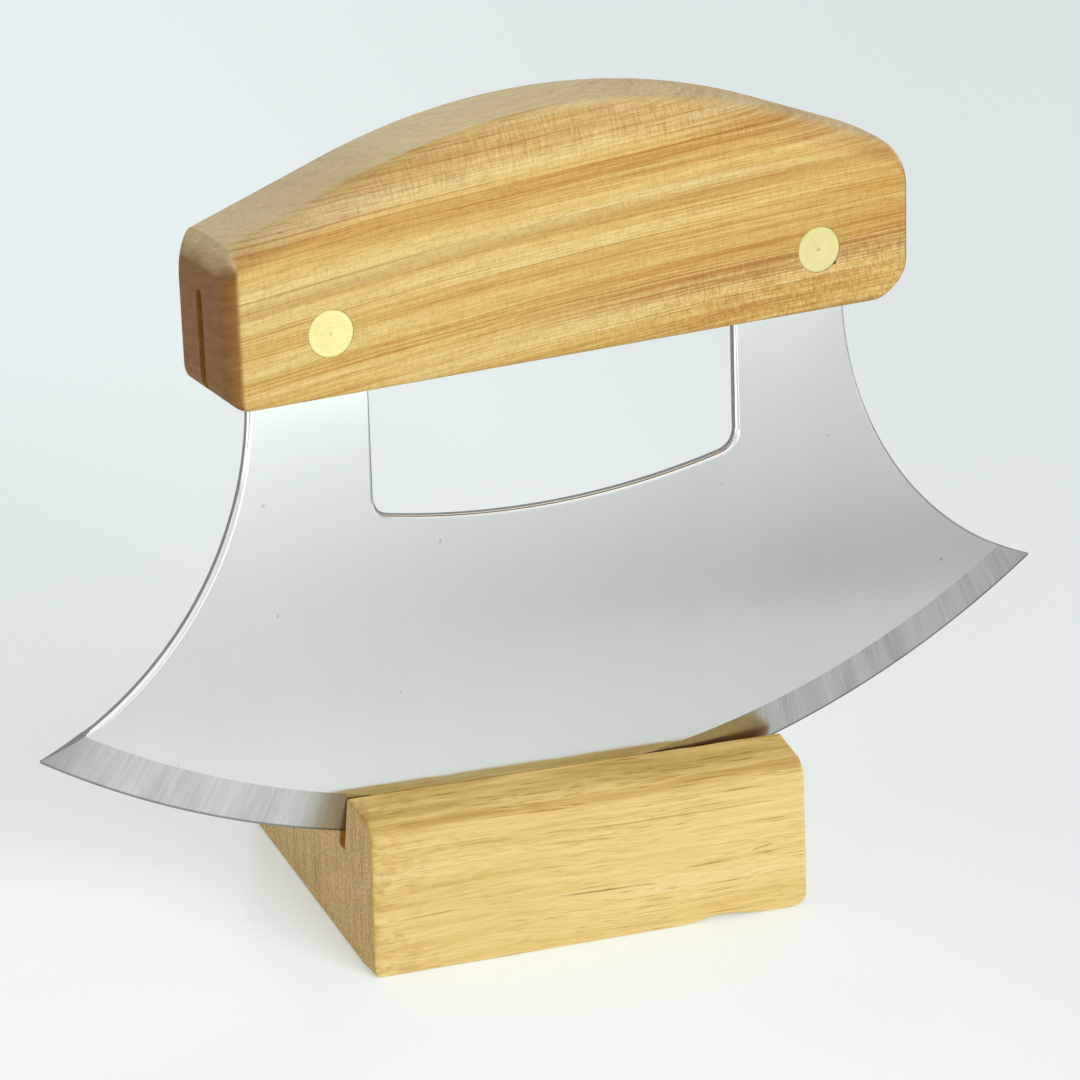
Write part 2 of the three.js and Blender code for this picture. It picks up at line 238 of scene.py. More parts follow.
def make_room():
    """A white room, shown and mirrored brighter than it lights, more so above and less so on the right."""
    world = bpy.data.worlds.new("studio")
    bpy.context.scene.world = world
    world.use_nodes = True
    tree = world.node_tree
    room = tree.nodes["Background"]
    room.inputs["Color"].default_value = (0.97, 1, 1, 1)
    room.inputs["Strength"].default_value = ROOM_STRENGTH
    shown = tree.nodes.new("ShaderNodeBackground")
    shown.inputs["Color"].default_value = (0.97, 1, 0.99, 1)
    way = tree.nodes.new("ShaderNodeSeparateXYZ")
    rise = ramp_between(tree, way.outputs["Z"], 0.25, 0.65, 0.92, 1.2)
    fall = ramp_between(tree, way.outputs["X"], 0.4, 0.85, 1, 0.4)
    strength = tree.nodes.new("ShaderNodeMath")
    strength.operation = "MULTIPLY"
    ray = tree.nodes.new("ShaderNodeLightPath")
    seen = tree.nodes.new("ShaderNodeMath")
    seen.operation = "MAXIMUM"
    both = tree.nodes.new("ShaderNodeMixShader")
    tree.links.new(tree.nodes.new("ShaderNodeTexCoord").outputs["Generated"], way.inputs[0])
    tree.links.new(rise, strength.inputs[0])
    tree.links.new(fall, strength.inputs[1])
    tree.links.new(strength.outputs[0], shown.inputs["Strength"])
    tree.links.new(ray.outputs["Is Glossy Ray"], seen.inputs[0])
    tree.links.new(ray.outputs["Is Camera Ray"], seen.inputs[1])
    tree.links.new(seen.outputs[0], both.inputs[0])
    tree.links.new(room.outputs[0], both.inputs[1])
    tree.links.new(shown.outputs[0], both.inputs[2])
    tree.links.new(both.outputs[0], tree.nodes["World Output"].inputs["Surface"])


def make_floor(material):
    mesh = bpy.data.meshes.new("floor")
    build = bmesh.new()
    bmesh.ops.create_circle(build, cap_ends=True, radius=FLOOR_RADIUS * MM, segments=96)
    build.to_mesh(mesh)
    build.free()
    floor = bpy.data.objects.new("floor", mesh)
    bpy.context.scene.collection.objects.link(floor)
    mesh.materials.append(material)


# Material building blocks

class Nodes:
    """A material's node tree, with each node made and wired in one call."""

    def __init__(self, name):
        self.material = bpy.data.materials.new(name)
        self.material.use_nodes = True
        self.tree = self.material.node_tree
        self.shader = self.tree.nodes["Principled BSDF"]

    def add(self, kind, settings=None, **inputs):
        made = self.tree.nodes.new(kind)
        for key, value in (settings or {}).items():
            setattr(made, key, value)
        for key, value in inputs.items():
            self.wire(made, key, value)
        return made

    def wire(self, made, key, value):
        """Links or sets an input, given by its name or by the letter i and its number."""
        numbered = key[0] == "i" and key[1:].isdigit()
        socket = made.inputs[int(key[1:]) if numbered else key.replace("_", " ")]
        if isinstance(value, bpy.types.NodeSocket):
            self.tree.links.new(value, socket)
        else:
            socket.default_value = value

    def set(self, **inputs):
        for key, value in inputs.items():
            self.wire(self.shader, key, value)

    def math(self, operation, a, b=0.0):
        return self.add("ShaderNodeMath", {"operation": operation}, i0=a, i1=b).outputs[0]

    def sum(self, *values):
        total = values[0]
        for value in values[1:]:
            total = self.math("ADD", total, value)
        return total

    def product(self, *values):
        total = values[0]
        for value in values[1:]:
            total = self.math("MULTIPLY", total, value)
        return total

    def place(self, pose=Matrix.Identity(4)):
        """The surface point in millimetres in the frame of a pose."""
        point = self.add("ShaderNodeTexCoord").outputs["Object"]
        made = self.add("ShaderNodeMapping", {"vector_type": "TEXTURE"}, Vector=point, Scale=(MM, MM, MM))
        self.wire(made, "Location", pose.to_translation())
        self.wire(made, "Rotation", pose.to_euler())
        return made.outputs[0]

    def facing(self, pose=Matrix.Identity(4)):
        """The surface normal in the frame of a pose."""
        normal = self.add("ShaderNodeTexCoord").outputs["Normal"]
        made = self.add("ShaderNodeMapping", {"vector_type": "TEXTURE"}, Vector=normal)
        self.wire(made, "Rotation", pose.to_euler())
        return made.outputs[0]

    def split(self, vector):
        return self.add("ShaderNodeSeparateXYZ", None, i0=vector).outputs

    def join(self, x, y, z):
        return self.add("ShaderNodeCombineXYZ", None, i0=x, i1=y, i2=z).outputs[0]

    def stretch(self, vector, x, y, z):
        made = self.add("ShaderNodeVectorMath", {"operation": "MULTIPLY"}, i0=vector, i1=(x, y, z))
        return made.outputs[0]

    def noise(self, vector, detail=2.0, roughness=0.5):
        made = self.add("ShaderNodeTexNoise", None, Vector=vector, Scale=1.0)
        self.wire(made, "Detail", detail)
        self.wire(made, "Roughness", roughness)
        return made.outputs[0]

    def ramp(self, factor, *stops):
        """A colour for each value between stops of a value and a colour."""
        made = self.add("ShaderNodeValToRGB", None, i0=factor)
        elements = made.color_ramp.elements
        while len(elements) < len(stops):
            elements.new(1)
        for element, (place, colour) in zip(elements, stops):
            element.position = place
            element.color = (*colour, 1)
        return made.outputs[0]

    def level(self, value, low, high, to_low=0.0, to_high=1.0):
        """A smooth step from one value to another as a value goes from low to high."""
        made = self.add("ShaderNodeMapRange", {"interpolation_type": "SMOOTHSTEP"}, i0=value)
        for key, number in zip(("i1", "i2", "i3", "i4"), (low, high, to_low, to_high)):
            self.wire(made, key, number)
        return made.outputs[0]

    def mix(self, factor, a, b, blend="MIX"):
        made = self.add("ShaderNodeMix", {"data_type": "RGBA", "blend_type": blend})
        self.wire(made, "i0", factor)
        self.wire(made, "i6", a)
        self.wire(made, "i7", b)
        return made.outputs[2]

    def shade(self, colour, factor, *stops):
        """A colour times the ramp's colour for a factor."""
        return self.mix(1.0, colour, self.ramp(factor, *stops), "MULTIPLY")

    def bump(self, height, depth_mm, strength=1.0):
        made = self.add("ShaderNodeBump", None, Height=height, Strength=strength, Distance=depth_mm * MM)
        return made.outputs[0]


# Materials

def handle_wood():
    n = Nodes("handle_wood")
    place = n.place(knife_pose)
    x, y, z = n.split(place)
    across, towards, upward = n.split(n.facing(knife_pose))
    # The growth layers rise gently to the right, a little bowed, and wander.
    wander = n.noise(n.stretch(place, 0.02, 0.05, 0.05), 2)
    drift = n.product(n.math("SUBTRACT", wander, 0.5), 1.6)
    layer = n.sum(z, drift, n.product(x, x, 0.00046), n.product(x, -0.077), n.product(y, 0.15))
    grown = n.join(x, y, layer)
    broad = n.noise(n.stretch(grown, 0.008, 0.03, 0.25), 2)
    narrow = n.noise(n.stretch(grown, 0.018, 0.1, 2.5), 4, 0.75)
    swing = n.math("MAXIMUM", n.level(x, -35, 30, 0.3, 0.55), n.level(layer, 53, 57, 0.5, 0.2))
    stripes = n.sum(n.product(broad, 0.5), n.product(n.math("SUBTRACT", narrow, 0.5), swing), 0.25)
    stripes = n.sum(stripes, n.level(x, -45, 15, 0.015, 0))
    colour = n.ramp(stripes, (0.37, (0.52, 0.26, 0.05)), (0.45, (0.67, 0.425, 0.12)),
                    (0.52, (0.77, 0.54, 0.19)), (0.62, (0.84, 0.66, 0.30)))
    lines = n.noise(n.stretch(grown, 0.012, 0.1, 3.4), 2, 0.6)
    dense = n.level(layer, 50, 58, 0.5, 0.53)
    colour = n.mix(n.level(lines, dense, 0.66, 0, 0.6), colour, (0.46, 0.20, 0.03, 1))
    # A darker olive layer through the middle, and a reddish one low on the right.
    olive = n.product(n.level(layer, 61.2, 61.6, 0, 0.5), n.level(layer, 62.6, 64.4, 1, 0))
    colour = n.mix(olive, colour, (0.50, 0.275, 0.06, 1))
    rust = n.product(n.level(layer, 48.4, 49.4, 0, 0.7), n.level(layer, 51.4, 52.6, 1, 0))
    rust = n.product(rust, n.level(x, -30, 25), n.level(narrow, 0.36, 0.6, 1, 0.25))
    colour = n.mix(rust, colour, (0.43, 0.195, 0.06, 1))
    fibre = n.noise(n.stretch(grown, 0.16, 1, 6.5), 4, 0.8)
    colour = n.shade(colour, fibre, (0.3, (0.78, 0.65, 0.45)), (0.5, (1, 1, 1)), (0.7, (1.06, 1.09, 1.18)))
    mottle = n.noise(n.stretch(place, 2.6, 1.5, 1.1), 3, 0.7)
    colour = n.shade(colour, mottle, (0.32, (0.91, 0.87, 0.78)), (0.5, (1, 1, 1)),
                     (0.68, (1.05, 1.07, 1.13)))
    # Painted shade makes the upward-facing cheeks a little darker, and the foot of the right half is darker
    # too.
    cheek_shade = n.level(upward, 0.08, 0.4, 0, 0.8)
    colour = n.mix(cheek_shade, colour, n.mix(1.0, colour, (0.86, 0.81, 0.87, 1), "MULTIPLY"))
    foot = n.product(n.level(layer, 49, 53, 1, 0), n.level(x, -10, 30, 0, 0.8))
    foot = n.product(foot, n.level(n.sum(fibre, mottle), 0.85, 1.15, 1, 0.15))
    colour = n.mix(foot, colour, n.mix(1.0, colour, (0.76, 0.66, 0.52, 1), "MULTIPLY"))
    # Light and dark flecks across the cheek, where the cut meets the wood's rays.
    cheek = n.product(n.level(upward, 0.08, 0.3), n.level(upward, 0.55, 0.8, 1, 0))
    cheek = n.product(cheek, n.level(n.math("ABSOLUTE", n.sum(x, 2)), 20, 36, 1, 0))
    rays = n.noise(n.stretch(place, 2.6, 0.25, 0.3), 2, 0.6)
    flecks = n.ramp(rays, (0.36, (0.86, 0.82, 0.76)), (0.5, (1, 1, 1)), (0.64, (1.09, 1.11, 1.15)))
    colour = n.mix(1.0, colour, n.mix(cheek, (1, 1, 1, 1), flecks), "MULTIPLY")
    holes = n.level(n.noise(n.stretch(grown, 0.5, 1, 7), 1), 0.62, 0.74)
    colour = n.mix(n.product(holes, 0.4), colour, (0.28, 0.12, 0.028, 1))
    # The top strip is paler, most of all on the left: a painted sheen.
    pale = n.shade((0.98, 0.79, 0.45, 1), fibre, (0.3, (0.84, 0.81, 0.76)), (0.68, (1.05, 1.05, 1.05)))
    strip = n.level(upward, n.level(x, -25, 12, 0.88, 0.5), 0.97)
    colour = n.mix(n.product(strip, n.level(x, -25, 25, 0.85, 0.22)), colour, pale)
    # End grain, with the chamfers beside and above it.
    beside = n.level(n.math("ABSOLUTE", towards), 0.2, 0.55)
    end = n.mix(beside, (0.34, 0.165, 0.066, 1), (0.37, 0.168, 0.046, 1))
    end = n.mix(n.level(upward, 0.2, 0.5), end, (0.78, 0.60, 0.33, 1))
    rings = n.noise(n.stretch(grown, 0.05, 0.35, 1.6), 3, 0.7)
    end = n.shade(end, rings, (0.35, (0.84, 0.82, 0.78)), (0.65, (1.12, 1.12, 1.12)))
    cut_off = n.math("MAXIMUM", n.level(across, -0.6, -0.22, 1, 0), n.level(across, 0.4, 0.75))
    colour = n.mix(cut_off, colour, end)
    dry = n.math("MAXIMUM", n.level(fibre, 0.2, 0.8, 0.52, 0.42), n.product(cut_off, 0.85))
    n.set(Base_Color=colour, Roughness=dry, Specular_IOR_Level=0.34)
    n.set(Normal=n.bump(n.math("SUBTRACT", fibre, holes), 0.02, 0.4))
    return n.material


def stand_wood():
    n = Nodes("stand_wood")
    place = n.place()
    x, y, z = n.split(place)
    across, _, upward = n.split(n.facing())
    wander = n.noise(n.stretch(place, 0.022, 0.05, 0.05), 2)
    layer = n.sum(z, n.product(y, 0.35), n.product(wander, 2.4))
    grown = n.join(x, y, layer)
    broad = n.noise(n.stretch(grown, 0.012, 0.04, 0.22), 2)
    bands = n.noise(n.stretch(grown, 0.03, 0.1, 1.1), 4, 0.7)
    tone = n.sum(n.product(broad, 0.35), n.product(bands, 0.35), 0.155)
    colour = n.ramp(tone, (0.36, (0.70, 0.465, 0.145)), (0.46, (0.845, 0.635, 0.255)),
                    (0.54, (0.90, 0.71, 0.32)), (0.64, (0.915, 0.77, 0.415)))
    fibre = n.noise(n.stretch(grown, 0.2, 1.2, 5), 4, 0.8)
    colour = n.shade(colour, fibre, (0.3, (0.86, 0.81, 0.72)), (0.5, (1, 1, 1)), (0.7, (1.05, 1.06, 1.09)))
    # Short dark pores, in patches, and a few longer ones.
    patches = n.noise(n.stretch(place, 0.07, 0.2, 0.2), 2)
    short = n.noise(n.stretch(grown, 0.26, 2.5, 7.5), 1)
    long = n.noise(n.stretch(grown, 0.08, 1.5, 4.2), 1)
    short = n.product(n.level(short, 0.585, 0.73, 0, 0.65), n.level(patches, 0.4, 0.62, 0.1, 1))
    pores = n.math("MAXIMUM", short, n.level(long, 0.67, 0.76, 0, 0.7))
    colour = n.mix(pores, colour, (0.46, 0.22, 0.05, 1))
    # The longest pores, seen in front.
    bent = n.sum(z, n.product(n.math("SUBTRACT", fibre, 0.5), 0.4))
    for left, left_z, right, right_z, darkness in LONG_PORES:
        slope = (right_z - left_z) / (right - left)
        middle = n.sum(n.product(n.math("SUBTRACT", x, left), slope), left_z)
        fade = (right - left) * 0.35
        near = n.level(n.math("ABSOLUTE", n.math("SUBTRACT", bent, middle)), 0.03, 0.2, darkness, 0)
        near = n.product(near, n.level(x, left, left + fade), n.level(x, right - fade, right, 1, 0))
        colour = n.mix(near, colour, (0.40, 0.18, 0.04, 1))
    # Browner blotches near the left end, and streaks of painted shade that darken the top.
    stain = n.noise(n.stretch(place, 0.35, 0.5, 0.9), 2, 0.6)
    blotches = n.product(n.level(x, -33, -22, 0.6, 0), n.level(stain, 0.42, 0.7))
    colour = n.mix(blotches, colour, (0.62, 0.36, 0.09, 1))
    top_shade_streaks = n.ramp(bands, (0.36, (0.70, 0.60, 0.44)), (0.52, (0.86, 0.79, 0.64)),
                     (0.66, (0.97, 0.92, 0.82)))
    colour = n.mix(1.0, colour, n.mix(n.level(upward, 0.4, 0.85), (1, 1, 1, 1), top_shade_streaks), "MULTIPLY")
    # End grain with upright rays, and a deeper orange line along the middle of the rounded edges round it.
    turned = n.math("ABSOLUTE", across)
    upright = n.join(x, n.sum(y, n.product(z, -0.31)), z)
    rays = n.noise(n.stretch(upright, 0.5, 1.5, 0.1), 4, 0.75)
    specks = n.noise(n.stretch(upright, 1, 4.5, 3), 2, 0.8)
    end = n.shade((0.85, 0.575, 0.27, 1), rays, (0.36, (0.78, 0.74, 0.68)), (0.5, (1, 1, 1)),
                  (0.64, (1.1, 1.12, 1.16)))
    end = n.shade(end, specks, (0.34, (0.76, 0.71, 0.64)), (0.5, (1, 1, 1)), (0.64, (1.26, 1.34, 1.5)))
    colour = n.mix(n.level(turned, 0.62, 0.9), colour, end)
    rim = n.product(n.level(turned, 0.5, 0.7, 0, 0.6), n.level(turned, 0.85, 0.98, 1, 0))
    colour = n.mix(rim, colour, (0.72, 0.38, 0.085, 1))
    n.set(Base_Color=colour, Roughness=0.7, Specular_IOR_Level=0.1, Diffuse_Roughness=0.3)
    n.set(Normal=n.bump(n.math("SUBTRACT", fibre, pores), 0.04, 0.5))
    return n.material


def shaded_sawn_wood(name, tone):
    """The walls of a saw cut: their own raw, darker colour, darkened further as painted shade inside the
    narrow cut, and scaled by tone.
    """
    n = Nodes(name)
    dark = (0.44 * tone, 0.195 * tone, 0.03 * tone)
    light = (0.6 * tone, 0.295 * tone, 0.055 * tone)
    marks = n.noise(n.stretch(n.place(), 0.5, 0.5, 2.2), 3, 0.7)
    n.set(Base_Color=n.ramp(marks, (0.3, dark), (0.7, light)), Roughness=0.8)
    n.set(Specular_IOR_Level=0.1, Normal=n.bump(marks, 0.05, 0.5))
    return n.material


def satin_steel():
    """Brushed upright, so that it blurs what it mirrors sideways only."""
    n = Nodes("satin_steel")
    place = n.place(knife_pose)
    brushing = n.noise(n.stretch(place, 4, 1, 0.03), 3, 0.7)
    smears = n.noise(n.stretch(place, 0.06, 0.05, 0.03), 3, 0.6)
    specks = n.noise(n.stretch(place, 0.7, 0.7, 0.7), 1)
    marks = n.sum(n.product(smears, 0.7), n.product(brushing, 0.3))
    tone = n.ramp(marks, (0.38, (0.77, 0.78, 0.77)), (0.62, (0.79, 0.8, 0.79)))
    tone = n.mix(n.level(specks, 0.8, 0.83, 0, 0.45), tone, (0.4, 0.39, 0.37, 1))
    grain = n.add("ShaderNodeTangent", {"direction_type": "UV_MAP", "uv_map": "brushing"}).outputs[0]
    n.set(Base_Color=tone, Metallic=1.0, Anisotropic=1.0, Tangent=grain)
    n.set(Roughness=n.level(n.sum(brushing, smears), 0.7, 1.3, 0.155, 0.17))
    return n.material


def ground_steel():
    """Scratched across the edge by grinding, with a dark line at the edge and a dark left tip."""
    n = Nodes("ground_steel")
    x, _, z = n.split(n.place(knife_pose))
    drop = n.math("SUBTRACT", edge_centre, z)
    along = n.product(n.math("ARCTAN2", x, drop), EDGE_RADIUS)
    reach = n.math("SQRT", n.sum(n.product(x, x), n.product(drop, drop)))
    curved = n.join(along, reach, 1.0)
    scratches = n.noise(n.stretch(curved, 1.8, 0.06, 0), 4, 0.75)
    waves = n.noise(n.stretch(curved, 0.28, 0.04, 3), 2)
    both = n.sum(n.product(scratches, 0.5), n.product(waves, 0.5))
    tone = n.ramp(both, (0.36, (0.46, 0.46, 0.445)), (0.5, (0.57, 0.57, 0.555)), (0.64, (0.66, 0.66, 0.64)))
    at_edge = n.level(reach, EDGE_RADIUS - 0.42, EDGE_RADIUS - 0.2, 0, 0.75)
    tone = n.mix(at_edge, tone, (0.16, 0.155, 0.14, 1))
    tone = n.mix(n.level(along, -80, -72, 0.6, 0), tone, (0.25, 0.25, 0.24, 1))
    n.set(Base_Color=tone, Metallic=1.0, Roughness=n.level(scratches, 0.3, 0.7, 0.34, 0.26))
    n.set(Normal=n.bump(scratches, 0.006, 0.4))
    return n.material


def shaded_sheared_steel():
    """The blade's cut sides, rougher than its faces, and darker: partly their own sheared steel, partly a
    painted dark reflection.
    """
    n = Nodes("shaded_sheared_steel")
    marks = n.noise(n.stretch(n.place(knife_pose), 0.8, 6, 0.8), 3, 0.7)
    n.set(Base_Color=n.ramp(marks, (0.3, (0.17, 0.17, 0.17)), (0.7, (0.28, 0.28, 0.27))), Metallic=1.0)
    n.set(Roughness=n.level(marks, 0.3, 0.7, 0.5, 0.38))
    return n.material


def dressed_brass():
    """Sanded with the wood, over faint rings from turning, and darker in the middle and round the rim."""
    n = Nodes("dressed_brass")
    place = n.place(knife_pose)
    x, _, z = n.split(place)
    side = n.math("SUBTRACT", n.math("ABSOLUTE", x), rivet_x)
    height = n.math("SUBTRACT", z, rivet_z)
    reach = n.math("SQRT", n.sum(n.product(side, side), n.product(height, height)))
    sanding = n.noise(n.stretch(place, 0.9, 0.9, 5), 3, 0.7)
    turning = n.noise(n.join(n.product(reach, 3.2), 0.0, 0.0), 2)
    marks = n.sum(n.product(sanding, 0.5), n.product(turning, 0.5))
    tone = n.ramp(marks, (0.35, (0.92, 0.79, 0.345)), (0.65, (0.98, 0.88, 0.435)))
    tone = n.mix(n.level(reach, 0.12, 0.42, 0.4, 0), tone, (0.5, 0.38, 0.12, 1))
    tone = n.mix(n.level(reach, 2.9, 3.15, 0, 0.25), tone, (0.55, 0.42, 0.13, 1))
    n.set(Base_Color=tone, Metallic=1.0, Roughness=n.level(sanding, 0.3, 0.7, 0.42, 0.32))
    n.set(Normal=n.bump(marks, 0.01, 0.4))
    return n.material


def floor_paint():
    """A glossy white table, lifted to white for the camera and mirrored by metal as a lit room's floor."""
    n = Nodes("floor_paint")
    x, y, _ = n.split(n.place())
    ray = n.add("ShaderNodeLightPath").outputs
    # The camera's lift is painted light, paler in front, with less of it towards the right as painted
    # shade.
    lift = n.mix(n.level(y, -160, 220), (0.295, 0.295, 0.285, 1), (0.255, 0.285, 0.29, 1))
    sideways = n.math("DIVIDE", x, n.sum(n.math("ABSOLUTE", y), 150.0))
    lift = n.mix(1.0, lift, n.level(sideways, -0.1, 0.55, 1, 0.58), "MULTIPLY")
    n.set(Base_Color=(0.82, 0.87, 0.87, 1), Roughness=0.22, Specular_IOR_Level=0.25)
    n.set(Emission_Color=lift, Emission_Strength=ray["Is Camera Ray"])
    # What metal mirrors: pale near the stand, and farther out brighter or darker by distance and direction.
    away = n.math("MAXIMUM", n.math("ABSOLUTE", y), 40.0)
    turn = n.math("DIVIDE", x, away)
    near = n.sum(n.level(away, 100, 200, 0.88, 0.80), n.level(turn, -0.6, 1.2, 0.14, -0.14))
    far = n.sum(n.level(away, 200, 560, 0.59, 1.02), n.level(turn, 0.1, 0.75, 0.3, -0.19))
    far = n.sum(far, n.level(turn, -0.5, 0, -0.4, 0))
    far = n.sum(far, n.product(n.level(turn, 0.25, 0.5, 0, 0.1), n.level(away, 300, 460, 1, 0)))
    beyond = n.math("SUBTRACT", away, n.level(turn, 0.4, 0.6, 0, 260))
    far = n.sum(far, n.level(beyond, 560, 660, 0, 0.9))
    far = n.sum(far, n.product(n.level(turn, 0.42, 0.62, 0, -0.24), n.level(away, 380, 620)))
    room = n.sum(near, n.product(n.level(away, 186, 214), n.math("SUBTRACT", far, near)))
    white_left = n.product(n.level(x, -130, -85, 0.7, 0), n.level(away, 60, 125, 1, 0))
    dark_right = n.product(n.level(x, 80, 140, 0, -0.5), n.level(y, -45, -10))
    room = n.sum(room, white_left, dark_right)
    glow = n.add("ShaderNodeEmission", None, Color=(0.95, 1.01, 0.98, 1), Strength=room)
    both = n.add("ShaderNodeMixShader", None, i0=ray["Is Glossy Ray"])
    n.wire(both, "i1", n.shader.outputs[0])
    n.wire(both, "i2", glow.outputs[0])
    n.tree.links.new(both.outputs[0], n.tree.nodes["Material Output"].inputs["Surface"])
    return n.material


# Mesh building blocks

def arc(centre, radius, start, end, steps):
    """Points on an arc in a plane, from one angle to another, both ends included."""
    turns = [start + (end - start) * i / steps for i in range(steps + 1)]
    return [(centre[0] + radius * cos(t), centre[1] + radius * sin(t)) for t in turns]


def without_repeats(points):
    same = 1e-5
    kept = [points[0]]
    for point in points[1:]:
        if max(abs(a - b) for a, b in zip(point, kept[-1])) > same:
            kept.append(point)
    return kept


def skin(rows):
    """A closed bmesh over rows of points, all of one length, each row a loop."""
    build = bmesh.new()
    loops = [[build.verts.new(Vector(point) * MM) for point in row] for row in rows]
    count = len(loops[0])
    for a, b in zip(loops, loops[1:]):
        for i in range(count):
            j = (i + 1) % count
            build.faces.new((a[i], a[j], b[j], b[i]))
    build.faces.new(loops[0])
    build.faces.new(reversed(loops[-1]))
    bmesh.ops.recalc_face_normals(build, faces=build.faces)
    return build


def inset(points, shares, depth):
    """An outline drawn in by a depth, each point by its share of it along the bisector of its corner."""
    sharpest = 0.5
    moved = []
    for i, point in enumerate(points):
        before = (Vector(point) - Vector(points[i - 1])).normalized()
        after = (Vector(points[(i + 1) % len(points)]) - Vector(point)).normalized()
        inward = Vector((-before.y - after.y, before.x + after.x))
        reach = depth * shares[i] * 2 / max(inward.length_squared, sharpest)
        moved.append(tuple(Vector(point) + inward * reach))
    return moved


def along_x(points, *stations):
    return [[(x, y, z) for y, z in points] for x in stations]


def along_y(points, *stations):
    return [[(x, y, z) for x, z in points] for y in stations]


def to_object(name, build):
    mesh = bpy.data.meshes.new(name)
    build.to_mesh(mesh)
    build.free()
    piece = bpy.data.objects.new(name, mesh)
    bpy.context.scene.collection.objects.link(piece)
    return piece


def cut(piece, *cutters):
    """Takes each cutter's volume out of a piece, and deletes the cutters."""
    for cutter in cutters:
        step = piece.modifiers.new("cut", "BOOLEAN")
        step.object = cutter
        step.solver = "EXACT"
    bpy.context.view_layer.update()
    shown = piece.evaluated_get(bpy.context.evaluated_depsgraph_get())
    done = bpy.data.meshes.new_from_object(shown)
    piece.modifiers.clear()
    piece.data = done
    for cutter in cutters:
        bpy.data.objects.remove(cutter)


def smooth(piece, angle):
    piece.data.shade_smooth()
    piece.data.set_sharp_from_angle(angle=angle)


def paint(piece, materials, choose):
    """Gives a piece its materials, and each face the one that choose(face) picks."""
    piece.data.materials.clear()
    for material in materials:
        piece.data.materials.append(material)
    for face in piece.data.polygons:
        face.material_index = choose(face)


def pin(radius, low, high, x, z, steps=64):
    """A round cutter along Y."""
    return to_object("cutter", skin(along_y(arc((x, z), radius, 0, 2 * pi, steps)[:-1], low, high)))


def make_knife_pose():
    """Rolled about the centre of its edge, leaning back from its foot in the slot."""
    foot = Vector((SEAT_X, foot_y, STAND_HEIGHT - foot_depth)) * MM
    lean = Matrix.Translation(foot) @ Matrix.Rotation(-LEAN, 4, "X")
    rock = Matrix.Translation((0, 0, EDGE_RADIUS * MM)) @ Matrix.Rotation(-ROCK, 4, "Y")
    return lean @ rock @ Matrix.Translation((0, 0, -edge_centre * MM))


knife_pose = make_knife_pose()


# Blade

def blade_outline():
    """Down the left side, along the edge, up the right side and round the window, as points in X and Z."""
    tang = TANGS_ACROSS / 2
    reach = BLADE_SPAN / 2 - tang
    side_top = sqrt(2 * SIDE_RADIUS * reach - reach ** 2)
    side_x = tang + SIDE_RADIUS
    side_turn = atan2(side_top, SIDE_RADIUS - reach)
    edge_turn = asin(BLADE_SPAN / 2 / EDGE_RADIUS)
    wall = WINDOW_WIDTH / 2
    corner_x = wall - WINDOW_CORNER_RADIUS
    inner = WINDOW_FLOOR_RADIUS - WINDOW_CORNER_RADIUS
    floor_centre = WINDOW_FLOOR_HEIGHT + WINDOW_FLOOR_RADIUS
    corner_z = floor_centre - sqrt(inner ** 2 - corner_x ** 2)
    turn = asin(corner_x / inner)
    down = -pi / 2
    points = [(-tang, tang_top)]
    points += arc((-side_x, side_top), SIDE_RADIUS, 0, -side_turn, 96)
    points += arc((0, edge_centre), EDGE_RADIUS, down - edge_turn, down + edge_turn, 180)
    points += arc((side_x, side_top), SIDE_RADIUS, pi + side_turn, pi, 96)
    points += [(tang, tang_top), (wall, tang_top)]
    points += arc((corner_x, corner_z), WINDOW_CORNER_RADIUS, 0, down + turn, 16)
    points += arc((0, floor_centre), WINDOW_FLOOR_RADIUS, down + turn, down - turn, 72)
    points += arc((-corner_x, corner_z), WINDOW_CORNER_RADIUS, down - turn, -pi, 16)
    points += [(-wall, tang_top)]
    return without_repeats(points)


def grind_cutter():
    """The cone that grinds the front of the edge, as a spun triangle about the edge's centre."""
    front = -BLADE_THICKNESS / 2
    rise = (BLADE_THICKNESS - EDGE_LAND) / GRIND_WIDTH
    over = 5
    start = EDGE_RADIUS - GRIND_WIDTH
    section = [(start - over, front - rise * over), (EDGE_RADIUS + over, front - rise * over),
               (EDGE_RADIUS + over, front + rise * (GRIND_WIDTH + over))]
    reach = radians(50)
    steps = 220
    rows = []
    for i in range(steps + 1):
        turn = -pi / 2 + reach * (2 * i / steps - 1)
        rows.append([(r * cos(turn), y, edge_centre + r * sin(turn)) for r, y in section])
    return to_object("cutter", skin(rows))


def blade_rows():
    """The blade's outline at each depth, its long edges rounded, more in front than behind."""
    points = blade_outline()
    shares = []
    for x, z in points:
        reach = sqrt(x ** 2 + (z - edge_centre) ** 2)
        share = min(max((EDGE_RADIUS - GRIND_WIDTH - reach) / ROUNDING_FADE, 0), 1)
        share *= RIGHT_ROUNDING_SHARE if x > TANGS_ACROSS / 2 - HAIR else 1
        shares.append(share if z < HANDLE_UNDERSIDE + ROUNDED_INTO_HANDLE else 0)
    half = BLADE_THICKNESS / 2
    rows = []
    for size, side, steps in ((FRONT_ROUNDING, -1, 8), (BACK_ROUNDING, 1, 4)):
        turns = [pi / 2 * i / steps for i in range(steps + 1)]
        for turn in turns if side < 0 else reversed(turns):
            depth = side * (half - size * (1 - cos(turn)))
            outline = inset(points, shares, size * (1 - sin(turn)))
            rows.append([(x, depth, z) for x, z in outline])
    return rows


def crisp_flats(piece):
    """Keeps the blade's flat faces flat to the eye, up to the grind and the rounded edges."""
    flat = 0.9999
    build = bmesh.new()
    build.from_mesh(piece.data)
    for edge in build.edges:
        if any(abs(face.normal.y) > flat for face in edge.link_faces):
            edge.smooth = False
    build.to_mesh(piece.data)
    build.free()


